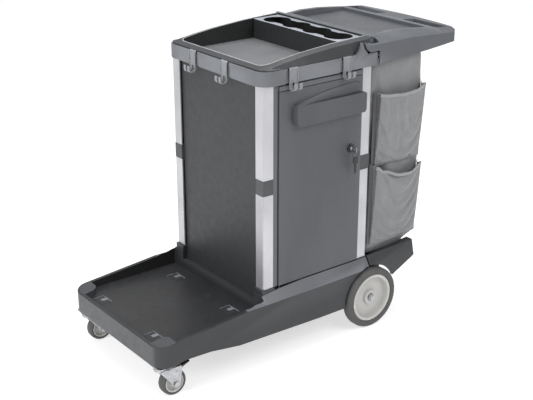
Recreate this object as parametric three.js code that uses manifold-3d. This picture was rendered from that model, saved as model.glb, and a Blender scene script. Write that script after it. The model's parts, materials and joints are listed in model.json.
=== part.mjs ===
// Housekeeping cart: a moulded base with a front deck, a lockable cabinet between four corner posts,
// a top tray with a bottle caddy, and a waste bag under a hinged hood that carries the push handle.
// Millimetres, +Z up.  x is laid out from the front faces of the front posts, nose towards -X and
// handle towards +X; y = 0 is the centre plane, the door is on the -Y side; z = 0 is the floor.
import * as THREE from 'three';
import { mergeVertices } from 'three/addons/utils/BufferGeometryUtils.js';
import Module from 'manifold-3d';

const wasm = await Module();
wasm.setup();

// ---- driving dimensions -------------------------------------------------------------------------
const NOSE_X = -377.5;            // front of the deck
const HANDLE_X = 774.5;           // rear of the push handle
const GAP = 0.3;                  // clearance between pieces that touch
const POST = { leg: 36, thick: 5, rear: 404, half: 225, foot: 236, top: 851.7 };
const JOINER = { z0: 530, z1: 577 };
const BASE = { half: 250, rear: 404, deck: 160, floor: 190, wall: 12, skin: 5, corner: 45, tail: 478 };
const KERB = { inner: 188, outer: 228, top: 233 };
const BAND = { x0: -13, x1: 418, half: 238, z0: 852, z1: 894, rear: 890, wall: 10, corner: 40 };
const TRAY = { floor: 870, skin: 4, half: 205, rear: 392 };
const CADDY = { x0: 291, x1: 390, half: 201, z0: 870.4, z1: 932, lobe: 43, pitch: 96, slot: 30 };
const HINGE = { x: 400, z: 932, rod: 3, knuckle: 6.5, reach: 40 };
const HOOD = { x0: 421, half: 240, skin: 4, rim: 206 };
const DOOR = { x0: 54.5, x1: 366, y: -229, depth: 20, skin: 3, z0: 237, z1: 829, pin: [58, -225] };
const DOOR_RAIL = { z0: 831, z1: 845 };   // fixed strip, so that the door swings under the hooks
const LOCK = { x: 325, z: 611 };
const BAG = { x0: 408, neck: 420, x1: 628, half: 214, z0: 224, shoulder: 848, z1: 868, skin: 3 };
const WHEEL = { x: 410, r: 100, width: 34, y: 244.5, rim: 78, axle: 8 };
const CASTOR = { x: -343, y: 206, trail: 29, r: 40, width: 32, plate: 107 };

// ---- materials ----------------------------------------------------------------------------------
const paint = (color, roughness, metalness = 0) =>
  new THREE.MeshStandardMaterial({ color, roughness, metalness });
const MATERIAL = {
  charcoal: paint(0x47494e, 0.6),
  panel: paint(0x4b4d52, 0.55),
  trim: paint(0x5c5e63, 0.6),
  aluminium: paint(0xd5d7da, 0.35, 1),
  steel: paint(0xb4b6ba, 0.3, 1),
  fabric: paint(0x8b8c90, 0.9),
  wheel: paint(0xbdbbb8, 0.5),
  rubber: paint(0x58585a, 0.8),
  black: paint(0x18181a, 0.4),
};

// ---- solids -------------------------------------------------------------------------------------
// A solid is a manifold; every helper below returns one in the cart's own coordinates.
function volumeOf(geometry) {
  const p = geometry.attributes.position;
  const index = geometry.index.array;
  const [a, b, c] = [new THREE.Vector3(), new THREE.Vector3(), new THREE.Vector3()];
  let sum = 0;
  for (let i = 0; i < index.length; i += 3) {
    a.fromBufferAttribute(p, index[i]);
    b.fromBufferAttribute(p, index[i + 1]);
    c.fromBufferAttribute(p, index[i + 2]);
    sum += a.dot(b.cross(c));
  }
  return sum / 6;
}

function solid(geometry) {
  geometry.deleteAttribute('normal');
  geometry.deleteAttribute('uv');
  const merged = mergeVertices(geometry, 1e-3);
  const triangles = Uint32Array.from(merged.index.array);
  if (volumeOf(merged) < 0) triangles.reverse();
  const vertices = Float32Array.from(merged.attributes.position.array);
  return new wasm.Manifold(new wasm.Mesh({ numProp: 3, vertProperties: vertices, triVerts: triangles }));
}

function block([x0, x1], [y0, y1], [z0, z1]) {
  const box = new THREE.BoxGeometry(Math.abs(x1 - x0), Math.abs(y1 - y0), Math.abs(z1 - z0));
  box.translate((x0 + x1) / 2, (y0 + y1) / 2, (z0 + z1) / 2);
  return solid(box);
}

// The outline is (y, z) for axis x, (x, z) for axis y and (x, y) for axis z.
function prism(axis, outline, [from, to], holes = []) {
  const shape = new THREE.Shape(outline.map(([u, v]) => new THREE.Vector2(u, v)));
  shape.holes = holes.map((hole) => new THREE.Path(hole.map(([u, v]) => new THREE.Vector2(u, v))));
  const depth = Math.abs(to - from);
  const geometry = new THREE.ExtrudeGeometry(shape, { depth, bevelEnabled: false });
  const low = Math.min(from, to);
  if (axis === 'z') geometry.translate(0, 0, low);
  if (axis === 'y') geometry.rotateX(Math.PI / 2).translate(0, low + depth, 0);
  if (axis === 'x') {
    const turn = new THREE.Matrix4().makeBasis(
      new THREE.Vector3(0, 1, 0), new THREE.Vector3(0, 0, 1), new THREE.Vector3(1, 0, 0));
    geometry.applyMatrix4(turn).translate(low, 0, 0);
  }
  return solid(geometry);
}

function arc([u, v], radius, fromDeg, toDeg, steps = 8) {
  const points = [];
  for (let i = 0; i <= steps; i += 1) {
    const angle = THREE.MathUtils.degToRad(fromDeg + ((toDeg - fromDeg) * i) / steps);
    points.push([u + radius * Math.cos(angle), v + radius * Math.sin(angle)]);
  }
  return points;
}

// Rounded rectangle; the four radii are at (u0,v0), (u1,v0), (u1,v1), (u0,v1).
function roundedBox(u0, u1, v0, v1, radii) {
  const [a, b, c, d] = radii.length ? radii : [radii, radii, radii, radii];
  return [
    ...arc([u0 + a, v0 + a], a, 180, 270, 5), ...arc([u1 - b, v0 + b], b, 270, 360, 5),
    ...arc([u1 - c, v1 - c], c, 0, 90, 5), ...arc([u0 + d, v1 - d], d, 90, 180, 5)];
}

function rod(axis, [u, v], radius, span, sides = 20) {
  return prism(axis, arc([u, v], radius, 0, 360 - 360 / sides, sides - 1), span);
}

// A closed (radius, y) profile turned about a line along Y through the origin, flat at the bottom.
function turned(profile, sides) {
  const points = [...profile, profile[0]].map(([r, y]) => new THREE.Vector2(r, y));
  return solid(new THREE.LatheGeometry(points, sides, Math.PI / sides));
}

// A closed body through rings of (y, z) points, one ring for each x.
function loft(sections) {
  const flat2d = (ring) => ring.map(([y, z]) => new THREE.Vector2(y, z));
  const clockwise = THREE.ShapeUtils.isClockWise(flat2d(sections[0].ring));
  const rings = sections.map(({ x, ring }) => ({ x, ring: clockwise ? [...ring].reverse() : ring }));
  const count = rings[0].ring.length;
  const positions = rings.flatMap(({ x, ring }) => ring.flatMap(([y, z]) => [x, y, z]));
  const index = [];
  for (let k = 0; k < rings.length - 1; k += 1) {
    for (let i = 0; i < count; i += 1) {
      const [a, b] = [k * count + i, k * count + ((i + 1) % count)];
      index.push(a, b, b + count, a, b + count, a + count);
    }
  }
  const cap = (ring) => THREE.ShapeUtils.triangulateShape(flat2d(ring), []);
  const last = (rings.length - 1) * count;
  cap(rings[0].ring).forEach(([a, b, c]) => index.push(c, b, a));
  cap(rings[rings.length - 1].ring).forEach(([a, b, c]) => index.push(last + a, last + b, last + c));
  const geometry = new THREE.BufferGeometry();
  geometry.setAttribute('position', new THREE.Float32BufferAttribute(positions, 3));
  geometry.setIndex(index);
  return solid(geometry);
}

const joined = (first, ...rest) => rest.reduce((whole, piece) => whole.add(piece), first);
const cut = (first, ...rest) => rest.reduce((whole, piece) => whole.subtract(piece), first);
const mirrorRing = (ring, side) => ring.map(([y, z]) => [y * side, z]);
const sides = [[-1, 'left'], [1, 'right']];

function geometryOf(body) {
  const mesh = body.getMesh();
  const geometry = new THREE.BufferGeometry();
  geometry.setAttribute('position', new THREE.BufferAttribute(new Float32Array(mesh.vertProperties), 3));
  geometry.setIndex(new THREE.BufferAttribute(new Uint32Array(mesh.triVerts), 1));
  geometry.computeVertexNormals();
  return geometry;
}

// ---- the scene graph ----------------------------------------------------------------------------
const cart = new THREE.Group();
const layout = new THREE.Group();
layout.position.x = -(NOSE_X + HANDLE_X) / 2;
cart.add(layout);

function add(name, body, material, parent = layout) {
  const mesh = new THREE.Mesh(geometryOf(body), material);
  mesh.name = name;
  parent.add(mesh);
  return mesh;
}

function groupAt(x, y, z) {
  const group = new THREE.Group();
  group.position.set(x, y, z);
  layout.add(group);
  return group;
}

// ---- base ---------------------------------------------------------------------------------------
const BASE_TOP = [[NOSE_X, 172], [-345, 178], [-195, 191], [-75, 201], [60, 199], [BASE.rear, 201]];
const BASE_BOTTOM = [
  [BASE.rear, 92], [200, 93], [20, 97], [-105, 101], [-207, 116], [-287, 119], [NOSE_X, 109]];

function kerb(side) {
  const rise = [[-75, 203], [-35, 212], [0, 222], [60, 229], [140, KERB.top], [BASE.rear, KERB.top]];
  const ring = (top) => [
    [BASE.half, 150], [BASE.half, 200], [KERB.outer, top], [KERB.inner, top], [KERB.inner, 150]];
  return loft(rise.map(([x, top]) => ({ x, ring: mirrorRing(ring(top), side) })));
}

function basePlatform() {
  const { half, rear, deck, floor, wall, skin, corner, tail } = BASE;
  const plan = prism('z', roundedBox(NOSE_X, rear, -half, half, [corner, 0.5, 0.5, corner]), [60, 300]);
  const inside = half - skin;
  const boss = CASTOR.plate + GAP;
  const hub = WHEEL.axle + 2.5;
  let body = prism('y', [...BASE_TOP, ...BASE_BOTTOM], [-half, half]);
  body = body.add(kerb(-1)).add(kerb(1)).intersect(plan);
  body = body.add(block([rear - 4, tail], [-214, 214], [85, 185]));
  for (const [side] of sides) {
    for (const x of [[-6, 40], [rear - 38, rear]]) {   // the plinths that the posts stand on
      body = body.add(block(x, [side * KERB.outer, side * (KERB.inner + 1)], [180, POST.foot - GAP]));
    }
  }
  const hollow = (inset, end, z) => prism('z',   // keeps an even wall round the nose corners
    roundedBox(NOSE_X + inset, end, inset - half, half - inset, [corner - inset, 0.5, 0.5, corner - inset]), z);
  body = cut(body,
    hollow(wall, -8, [deck, 300]),
    block([-9, rear - 3], [-KERB.inner, KERB.inner], [floor, 300]),
    hollow(skin, -14, [60, deck - skin]),
    block([-6, 290], [-inside, inside], [60, floor - skin]),
    block([298, tail - skin], [-206, 206], [60, 180]));
  const footprint = prism('z',
    roundedBox(NOSE_X + 2, rear, 2 - half, half - 2, [corner - 2, 1, 1, corner - 2]), [boss, 158]);
  for (const [side] of sides) {
    const y = side * CASTOR.y;
    const pad = block([CASTOR.x - 36, CASTOR.x + 36], [y - 36, y + 36], [boss, 158]);
    body = body.add(pad.intersect(footprint));
    body = cut(body,
      rod('y', [WHEEL.x, WHEEL.r], WHEEL.r + 8, [side * 222, side * 260], 32),
      rod('y', [WHEEL.x, WHEEL.r], hub - 2.2, [side * 190, side * 260]),
      rod('z', DOOR.pin, 2.8, [228, 250], 12));
  }
  return body;
}
add('base_platform', basePlatform(), MATERIAL.charcoal);

// The skirt behind the wheels carries the bottom of the bag; a facet runs out towards its rear corner.
function rearSkirt() {
  const [front, rear] = [409, 600];
  const ring = (half, crease, inner, top) => [
    [-half, 140], [-half, crease], [-inner, top], [inner, top], [half, crease], [half, 140]];
  let body = loft([
    { x: front, ring: ring(250, 200, 228, 235) },
    { x: 588, ring: ring(248, 249, 246, 252) },
    { x: rear, ring: ring(247, 195, 246, 196) }]);
  const below = [[front - 5, 60], [front - 5, 150], [505, 150], [rear + 2, 195], [rear + 2, 60]];
  body = cut(body,
    prism('y', below, [-260, 260]),
    rod('y', [WHEEL.x, WHEEL.r], WHEEL.r + 8, [-260, 260], 32),
    block([front + 5, 592], [-222, 222], [214, 260]),
    block([front + 5, 590], [-240, 240], [60, 208]));
  return cut(body, block([front - 1, BASE.tail + GAP], [-(214 + GAP), 214 + GAP], [60, 185 + GAP]));
}
add('rear_skirt', rearSkirt(), MATERIAL.charcoal);

// ---- posts --------------------------------------------------------------------------------------
// An angle section with its corner at the origin and its legs along +x and +y.
function postLength(z0, z1) {
  const { leg, thick } = POST;
  const groove = 2;
  return prism('z', [
    [groove, 0], [leg, 0], [leg, thick], [thick, thick], [thick, leg], [0, leg], [0, groove],
    [groove, groove]], [z0, z1]);
}

function joinerBlock() {
  const { leg } = POST;
  return prism('z', [[0, 0], [leg, 0], [leg, leg], [0, leg]], [JOINER.z0 + GAP, JOINER.z1 - GAP]);
}

for (const [x, end] of [[0, 'front'], [POST.rear, 'rear']]) {
  for (const [side, hand] of sides) {
    const corner = groupAt(x, side * POST.half, 0);
    const quarter = { front_left: 0, rear_left: 1, rear_right: 2, front_right: 3 }[`${end}_${hand}`];
    corner.rotation.z = (quarter * Math.PI) / 2;
    add(`post_lower_${end}_${hand}`, postLength(POST.foot, JOINER.z0), MATERIAL.aluminium, corner);
    add(`post_joiner_${end}_${hand}`, joinerBlock(), MATERIAL.trim, corner);
    add(`post_upper_${end}_${hand}`, postLength(JOINER.z1, POST.top), MATERIAL.aluminium, corner);
  }
}

// ---- top frame ----------------------------------------------------------------------------------
const HOOKS = [
  { name: 'hook_front_right', x: BAND.x0, y: 97, turn: -0.5 },
  { name: 'hook_front_left', x: BAND.x0, y: -60, turn: -0.5 },
  { name: 'hook_left_front', x: 97, y: -BAND.half, turn: 0 },
  { name: 'hook_left_rear', x: 295, y: -BAND.half, turn: 0 },
  { name: 'hook_right_front', x: 97, y: BAND.half, turn: 1 },
  { name: 'hook_right_rear', x: 295, y: BAND.half, turn: 1 }];
const HOOK = { width: 31, thick: 2, notch: 5 };

function hookNotch({ x, y, turn }) {
  const half = HOOK.width / 2;
  const side = Math.sign(y);
  if (turn === -0.5) {
    return joined(
      block([x - 1, x + HOOK.notch], [y - half - 16, y + half + 1], [BAND.z0 - 1, BAND.z1 + 1]),
      block([x - 1, x + 14], [y - half - 1, y + half + 1], [BAND.z1 - 6, BAND.z1 + 1]));
  }
  return joined(
    block([x - half - 12, x + half + 1], [y + side, y - side * HOOK.notch], [BAND.z0 - 1, BAND.z1 + 1]),
    block([x - half - 1, x + half + 1], [y + side, y - side * 14], [BAND.z1 - 6, BAND.z1 + 1]));
}

function topFrame() {
  const { x0, x1, half, z0, z1, rear, wall, corner } = BAND;
  const centre = [HINGE.x, HINGE.z];
  let body = prism('z', roundedBox(x0, x1, -half, half, [corner, 8, 8, corner]), [z0, z1]);
  const inner = [corner - wall, 2, 2, corner - wall];
  body = cut(body,
    prism('z', roundedBox(x0 + wall, x1 - wall, wall - half, half - wall, inner), [z0 + 6, z1 + 1]),
    block([40, 365], [-186, 186], [z0 - 1, z1]),
    block([372, x1 + 1], [-half - 1, half + 1], [rear, z1 + 1]),
    rod('z', DOOR.pin, 2.8, [z0 - 1, 856], 12));
  const ear = [
    [322, z1 - 2], [334, z1 + 1], [345, 906], [352, 927],
    ...arc(centre, HINGE.reach + 6, 192, 235, 6), [372, z1 - 4]];
  for (const [side] of sides) {
    body = body.add(prism('y', ear, [side * half, side * (half - wall)]));
    const lug = prism('y',
      [[394, 857], [406, 857], [406, 934], [402, 937.5], [398, 937.5], [394, 934]],
      [side * 221, side * 215]);
    body = body.add(lug).subtract(rod('y', centre, HINGE.rod + GAP, [side * 210, side * 226], 16));
  }
  return HOOKS.reduce((whole, hook) => whole.subtract(hookNotch(hook)), body);
}
add('top_frame', topFrame(), MATERIAL.trim);

// A strip bent over the top of the band, down its face and up again into a J, outwards along -y.
function hookStrip() {
  const { width, thick, notch } = HOOK;
  const [inner, outer] = [13.4, notch - GAP - thick];
  const radius = 10;
  const path = [[inner, 876], [inner, 890.4], [outer + thick / 2, 890.4], [outer + thick / 2, 842],
    ...arc([outer + thick / 2 - radius, 842], radius, 0, -180, 8), [outer + thick / 2 - 2 * radius, 848]];
  const offset = (sign) => path.map(([u, v], i) => {
    const [before, after] = [path[Math.max(i - 1, 0)], path[Math.min(i + 1, path.length - 1)]];
    const a = new THREE.Vector2(u - before[0], v - before[1]).normalize();
    const b = new THREE.Vector2(after[0] - u, after[1] - v).normalize();
    const [p, q] = [a.length() ? a : b, b.length() ? b : a];
    const normal = new THREE.Vector2(-(p.y + q.y), p.x + q.x).normalize();
    const reach = (sign * thick) / 2 / normal.dot(new THREE.Vector2(-p.y, p.x));
    return [u + normal.x * reach, v + normal.y * reach];
  });
  return prism('x', [...offset(1), ...offset(-1).reverse()], [-width / 2, width / 2]);
}
for (const hook of HOOKS) {
  const place = groupAt(hook.x, hook.y, 0);
  place.rotation.z = hook.turn * Math.PI;
  add(hook.name, hookStrip(), MATERIAL.steel, place);
}

// ---- top tray and bottle caddy ------------------------------------------------------------------
const RIM_TOP = [[-8, 898], [24, 905], [80, 914], [142, 922], [251, 931], [340, 935], [TRAY.rear, 937]];

function topTray() {
  const { floor, skin, half, rear } = TRAY;
  const [base, low] = [895, floor - skin];
  const rimRing = (top) => {
    const slope = Math.max(top - 5, base + 2);
    return [[-236, base], [-236, base + 1], [-226, slope], [-206, top], [206, top],
      [226, slope], [236, base + 1], [236, base]];
  };
  let rim = loft(RIM_TOP.map(([x, top]) => ({ x, ring: rimRing(top) })));
  rim = rim.intersect(prism('z', roundedBox(-8, rear, -236, 236, [38, 1, 1, 38]), [low, 960]));
  for (const [side] of sides) {
    rim = rim.subtract(block([318, rear + 1], [side * 240, side * 226], [low, 960]));
  }
  const tub = prism('z',
    roundedBox(8, rear, -(half + skin), half + skin, [28, 4, 4, 28]), [low, base + 1]);
  const hollow = prism('z', roundedBox(14, rear - skin / 2, -half, half, [26, 2, 2, 26]), [floor, 960]);
  return joined(tub, rim).subtract(hollow);
}
add('top_tray', topTray(), MATERIAL.charcoal);

function bottleCaddy() {
  const { x0, x1, half, z0, z1, lobe, pitch, slot } = CADDY;
  const middle = (x0 + x1) / 2;
  const shell = block([x0, x1 - 0.5], [-half, half], [z0, z1]);
  const inside = block([x0 + 3, x1 - 3.5], [3 - half, half - 3], [z0 + 3, z1 - 4]);
  const top = [z1 - 6, z1 + 1];
  const lobes = [-1.5, -0.5, 0.5, 1.5].map((k) => rod('z', [middle, k * pitch], lobe, top, 28));
  const slit = block([middle - slot, middle + slot], [-1.5 * pitch, 1.5 * pitch], top);
  return cut(shell, inside, ...lobes, slit);
}
add('bottle_caddy', bottleCaddy(), MATERIAL.trim);

// ---- cabinet ------------------------------------------------------------------------------------
const PANEL_TOP = POST.top;
const PANEL_HALF = KERB.inner - 0.5;
const PANEL_Z = [BASE.floor + GAP, PANEL_TOP];
add('front_panel', block([8, 11], [-PANEL_HALF, PANEL_HALF], PANEL_Z), MATERIAL.panel);
add('rear_panel', block([393, 396], [-PANEL_HALF, PANEL_HALF], PANEL_Z), MATERIAL.panel);
add('right_side_panel', block([36.4, 367.6], [213, 216], [POST.foot, PANEL_TOP]), MATERIAL.panel);

// The shelf rests on the four post joiners.
function middleShelf() {
  const [x0, x1, y1, z] = [13, 391, 204, JOINER.z1];
  const tray = block([x0, x1], [-y1, y1], [z, z + 14]);
  return cut(tray, block([x0 + 3, x1 - 3], [3 - y1, y1 - 3], [z + 3, z + 20]));
}
add('middle_shelf', middleShelf(), MATERIAL.charcoal);

function doorSurround() {
  const [front, back] = [-224, -206];
  return joined(
    block([36.4, 52], [front, back], [POST.foot, PANEL_TOP]),
    block([51, 367.6], [front, back], [DOOR_RAIL.z0, PANEL_TOP]),
    block([DOOR.x0, DOOR.x1], [DOOR.y, front + 1], [DOOR_RAIL.z0, DOOR_RAIL.z1]),
  ).subtract(rod('z', DOOR.pin, 2.8, [DOOR.z1, 853], 12));
}
add('door_surround', doorSurround(), MATERIAL.panel);

function doorPanel() {
  const { x0, x1, y, depth, skin, z0, z1, pin } = DOOR;
  const back = y + depth;
  return cut(block([x0, x1], [y, back], [z0, z1]),
    block([x0 + 8, x1 - skin], [y + skin, back + 1], [z0 + skin, z1 - skin]),
    block([x1 - skin - 1, x1 + 1], [-221.5, back + 1], [LOCK.z - 44, LOCK.z + 12]),
    rod('z', pin, 2.8, [z0 - 1, z1 + 1], 12),
    rod('y', [LOCK.x, LOCK.z], 9.8, [y - 1, y + 9]));
}
add('door_panel', doorPanel(), MATERIAL.panel);
add('door_hinge_rod', rod('z', DOOR.pin, 2.5, [229, 850.8], 12), MATERIAL.steel);

const HANDLE = { x0: 102, x1: 364, z0: 722, z1: 783, reach: 22, skin: 4 };
function doorHandle() {
  const { x0, x1, z0, z1, reach, skin } = HANDLE;
  const face = DOOR.y - GAP;
  const outline = roundedBox(x0, x1, z0, z1, [16, 10, 8, 4]);
  const inner = roundedBox(x0 + skin, x1 - skin, z0 + skin, z1 + 40, [12, 7, 1, 1]);
  const cup = prism('y', inner, [face + 1, face - reach + skin]);
  return prism('y', outline, [face, face - reach]).subtract(cup);
}
add('door_handle', doorHandle(), MATERIAL.panel);

// Cam lock: the barrel is fixed in the door, and the key, plug and cam turn together.
const lockAt = [LOCK.x, LOCK.z];
const KEY_HOLE_Y = DOOR.y - 23;
function lockBarrel() {
  const face = rod('y', lockAt, 14, [DOOR.y - GAP - 3, DOOR.y - GAP], 16);
  const body = rod('y', lockAt, 9.5, [DOOR.y - 1, DOOR.y + 8.5]);
  return joined(face, body).subtract(rod('y', lockAt, 6.3, [DOOR.y - 10, DOOR.y + 10]));
}
add('lock_barrel', lockBarrel(), MATERIAL.black);

function lockPlug() {
  const cam = block([LOCK.x - 7, LOCK.x + 7], [-219.6, -217.6], [LOCK.z - 52, LOCK.z + 8]);
  const bow = prism('x', roundedBox(KEY_HOLE_Y - 5, DOOR.y - 4, LOCK.z - 9, LOCK.z + 9, [6, 2, 2, 6]),
    [LOCK.x - 1, LOCK.x + 1]);
  const hole = rod('x', [KEY_HOLE_Y, LOCK.z], 3.7, [LOCK.x - 5, LOCK.x + 5], 16);
  return joined(rod('y', lockAt, 6, [DOOR.y - 5, -217.6]), cam, bow).subtract(hole);
}
add('lock_plug', lockPlug(), MATERIAL.steel);

function spareKey() {
  const [ring, wire] = [12, 0.9];
  const profile = arc([ring, 0], wire, 0, 300, 5);
  const loop = turned(profile, 16).translate([LOCK.x, KEY_HOLE_Y, LOCK.z - ring]);
  const top = LOCK.z - 2 * ring + 3;
  const head = prism('y',
    roundedBox(LOCK.x - 9, LOCK.x + 9, top - 22, top, [6, 6, 6, 6]), [KEY_HOLE_Y - 1.5, KEY_HOLE_Y + 1.5]);
  const blade = block([LOCK.x - 4, LOCK.x + 4], [KEY_HOLE_Y - 1, KEY_HOLE_Y + 1], [top - 52, top - 21]);
  return joined(loop, head, blade);
}
add('spare_key', spareKey(), MATERIAL.black);

// ---- hood with the push handle ------------------------------------------------------------------
const HOOD_LINES = [ // x, lower edge, side crease, rim top
  [HOOD.x0, 855, 915, 931], [482, 859, 915, 936], [557, 863, 915, 934], [622, 867, 912, 928],
  [690, 873, 908, 921], [748, 879, 906, 916], [HANDLE_X + 1, 882, 905, 914]];
const HAND_HOLE = { x0: 684, x1: 736, y0: 60, y1: 206 };

function hood() {
  const { half, skin, rim } = HOOD;
  const outer = loft(HOOD_LINES.map(([x, low, crease, top]) => ({
    x, ring: [[-half, low], [-half, crease], [-rim, top], [rim, top], [half, crease], [half, low]] })));
  const innerRing = (crease) => [
    [skin - half, 800], [skin - half, crease], [-214, 909], [214, 909], [half - skin, crease],
    [half - skin, 800]];
  const inner = loft([[HOOD.x0 - 2, 909], [622, 906], [676, 901]].map(([x, crease]) => ({
    x, ring: innerRing(crease) })));
  const sweep = 1100;   // the handle's rear edge is a shallow arc in plan
  const bend = THREE.MathUtils.radToDeg(Math.asin(225 / sweep));
  const rearEdge = arc([HANDLE_X - sweep, 0], sweep, -bend, bend, 10);
  const plan = prism('z', [[380, -half], [735, -half], ...rearEdge, [735, half], [380, half]], [800, 960]);
  let body = outer.intersect(plan).subtract(inner);
  body = body.add(block([HINGE.x + 2, 432], [-211, 211], [911, 929]));
  body = cut(body,
    block([436, 655], [-190, 190], [913.5, 960]),
    block([742, 764], [-186, 186], [800, 901]));
  body = body.add(rod('y', [HINGE.x, HINGE.z], HINGE.knuckle, [-213, 213], 20));
  const wedge = [
    ...arc([HINGE.x, HINGE.z], HINGE.reach, 184, 247.7, 8),
    [HOOD.x0 + 2, 895], [HOOD.x0 + 2, 915], [372, 915]];
  const bevel = [[half, 908], [half, 915], [228.5, 920.5], [228.5, 914]];
  for (const [side] of sides) {
    const y = [side * HAND_HOLE.y0, side * HAND_HOLE.y1];
    body = joined(body,
      prism('y', wedge, [side * half, side * (half - skin)]),
      loft([366, 400, HOOD.x0 + 3].map((x) => ({ x, ring: mirrorRing(bevel, side) }))));
    body = body.subtract(block([HAND_HOLE.x0, HAND_HOLE.x1], y, [800, 960]));
  }
  return cut(body,
    rod('y', [HINGE.x, HINGE.z], HINGE.rod + GAP, [-230, 230], 16),
    block([HINGE.x - 12, HOOD.x0 + 2], [-234, -213], [905, 960]),
    block([HINGE.x - 12, HOOD.x0 + 2], [213, 234], [905, 960]));
}
add('hood', hood(), MATERIAL.charcoal);
add('hood_hinge_rod', rod('y', [HINGE.x, HINGE.z], HINGE.rod, [-222, 222], 16), MATERIAL.steel);

// ---- waste bag ----------------------------------------------------------------------------------
function wasteBag() {
  const { x0, neck, x1, half, z0, shoulder, z1, skin } = BAG;
  const knee = 258;   // below this the bag narrows into the recess of the rear skirt
  const outline = (inset, front) =>
    roundedBox(front + inset, x1 - inset, inset - half, half - inset, [14, 26, 26, 14]);
  const foot = (inset) => roundedBox(416 + inset, 588 - inset, inset - 206, 206 - inset, [14, 20, 20, 14]);
  return cut(
    joined(prism('z', outline(0, x0), [knee, shoulder]), prism('z', outline(0, neck), [shoulder - 1, z1]),
      prism('z', foot(0), [z0, knee + 1])),
    prism('z', outline(skin, x0), [knee + skin, shoulder - skin]),
    prism('z', outline(skin, neck), [shoulder - skin - 1, z1 + 1]),
    prism('z', foot(skin), [z0 + skin, knee + skin + 1]));
}
add('waste_bag', wasteBag(), MATERIAL.fabric);

function bagPocket([x0, x1], [z0, z1]) {
  const [back, front, skin] = [-(BAG.half + GAP), -240, 2.5];
  return cut(block([x0, x1], [front, back], [z0, z1]),
    block([x0 + skin, x1 - skin], [front + skin, back + 1], [z0 + skin, z1 + 1]));
}
add('bag_pocket_upper', bagPocket([432, 618], [520, 748]), MATERIAL.fabric);
add('bag_pocket_lower', bagPocket([424, 618], [268, 500]), MATERIAL.fabric);

// The bag hangs from a flat steel loop that is fixed to the back of the top frame.
function bagFrame() {
  const [x0, x1, half, z] = [BAND.x1 + GAP, 622, 207, BAG.z1 + GAP];
  const loop = prism('z', roundedBox(x0 + 2, x1, -half, half, [6, 24, 24, 6]), [z, z + 5]);
  const hole = prism('z', roundedBox(x0 + 10, x1 - 8, 8 - half, half - 8, [3, 18, 18, 3]), [z - 1, z + 6]);
  const tabs = sides.map(([side]) => block([x0, x0 + 6], [side * 150, side * 190], [z, z + 5]));
  return joined(cut(loop, hole), ...tabs);
}
add('bag_frame', bagFrame(), MATERIAL.steel);

// ---- rear wheels --------------------------------------------------------------------------------
const flat = (r, n) => r / Math.cos(Math.PI / n);   // radius whose facets touch the circle r
const axleSpan = [-(WHEEL.y + 15), WHEEL.y + 15];
add('rear_axle', rod('y', [WHEEL.x, WHEEL.r], WHEEL.axle, axleSpan, 24), MATERIAL.steel);

function rearRim() {
  const { rim } = WHEEL;
  const bore = flat(WHEEL.axle + 0.2, 24);
  return turned([
    [bore, -7], [24, -7], [27, -3], [64, -3], [70, -14], [rim - GAP, -14], [rim - GAP, 14],
    [70, 14], [64, 3], [24, 3], [24, 12], [bore, 12]], 24);
}

function rearTyre() {
  const { rim, r } = WHEEL;
  const tread = flat(r, 36);
  return turned([
    [rim + 0.6, -14], [rim + 5, -17], [r - 5, -17], [tread, -11], [tread, 11],
    [r - 5, 17], [rim + 5, 17], [rim + 0.6, 14]], 36);
}

for (const [side, hand] of sides) {
  const hub = groupAt(WHEEL.x, side * WHEEL.y, WHEEL.r);
  if (side > 0) hub.rotation.z = Math.PI;
  const eye = flat(WHEEL.axle + 0.2, 6);
  add(`rear_rim_${hand}`, rearRim(), MATERIAL.wheel, hub);
  add(`rear_tyre_${hand}`, rearTyre(), MATERIAL.rubber, hub);
  add(`rear_wheel_nut_${hand}`, turned([[eye, -13.5], [13, -13.5], [13, -7.3], [eye, -7.3]], 6),
    MATERIAL.steel, hub);
}

// ---- front castors ------------------------------------------------------------------------------
function castorPlate() {
  const z = CASTOR.plate;
  return joined(
    prism('z', roundedBox(-31, 31, -31, 31, [10, 10, 10, 10]), [z - 4, z]),
    rod('z', [0, 0], 25, [z - 10, z - 3.5], 24), rod('z', [0, 0], 6, [z - 20, z - 9], 16));
}

function castorFork() {
  const { trail, r, plate } = CASTOR;
  const crown = plate - 10 - GAP;
  const leg = [
    [-20, crown - 8], [-20, crown - 3], [48, crown - 3], [50, crown - 12], [trail + 14, r - 6],
    [trail + 8, r - 12], [trail - 4, r - 12], [trail - 9, r - 2]];
  const bridge = block([-12, 38], [-22.5, 22.5], [crown - 8, crown - 5]);
  let body = joined(rod('z', [0, 0], 27, [crown - 8, crown], 24), bridge);
  for (const [side] of sides) body = body.add(prism('y', leg, [side * 20, side * 22.5]));
  return cut(body, rod('z', [0, 0], 6.4, [0, 120], 16), rod('y', [trail, r], 5.3, [-30, 30], 16));
}

const PEDAL = { x: 45, z: 87 };   // pivot of the brake pedal, from the swivel
function castorPedal() {
  const { x, z } = PEDAL;
  return prism('y', [
    [x - 4, z - 3], [x + 3, z - 4], [x + 33, z + 8], [x + 33, z + 12], [x + 2, z + 4], [x - 4, z + 3]],
  [-19.6, 19.6]);
}

function castorAxle() {
  const heads = [-1, 1].map((k) => rod('y', [0, 0], 7.5, [k * 22.8, k * 27], 16));
  return joined(rod('y', [0, 0], 5, [-25, 25], 16), ...heads);
}

function castorRim() {
  const w = CASTOR.width / 2;
  return turned([
    [5.4, -w - 1], [11, -w - 1], [13, -6], [24, -6], [27, 2 - w], [30, 2 - w], [30, w - 2],
    [27, w - 2], [24, 6], [13, 6], [11, w + 1], [5.4, w + 1]], 18);
}

function castorTyre() {
  const w = CASTOR.width / 2;
  const tread = flat(CASTOR.r, 24);
  return turned([
    [30.6, 2 - w], [34, -w], [37, 1 - w], [tread, 7 - w], [tread, w - 7],
    [37, w - 1], [34, w], [30.6, w - 2]], 24);
}

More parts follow.
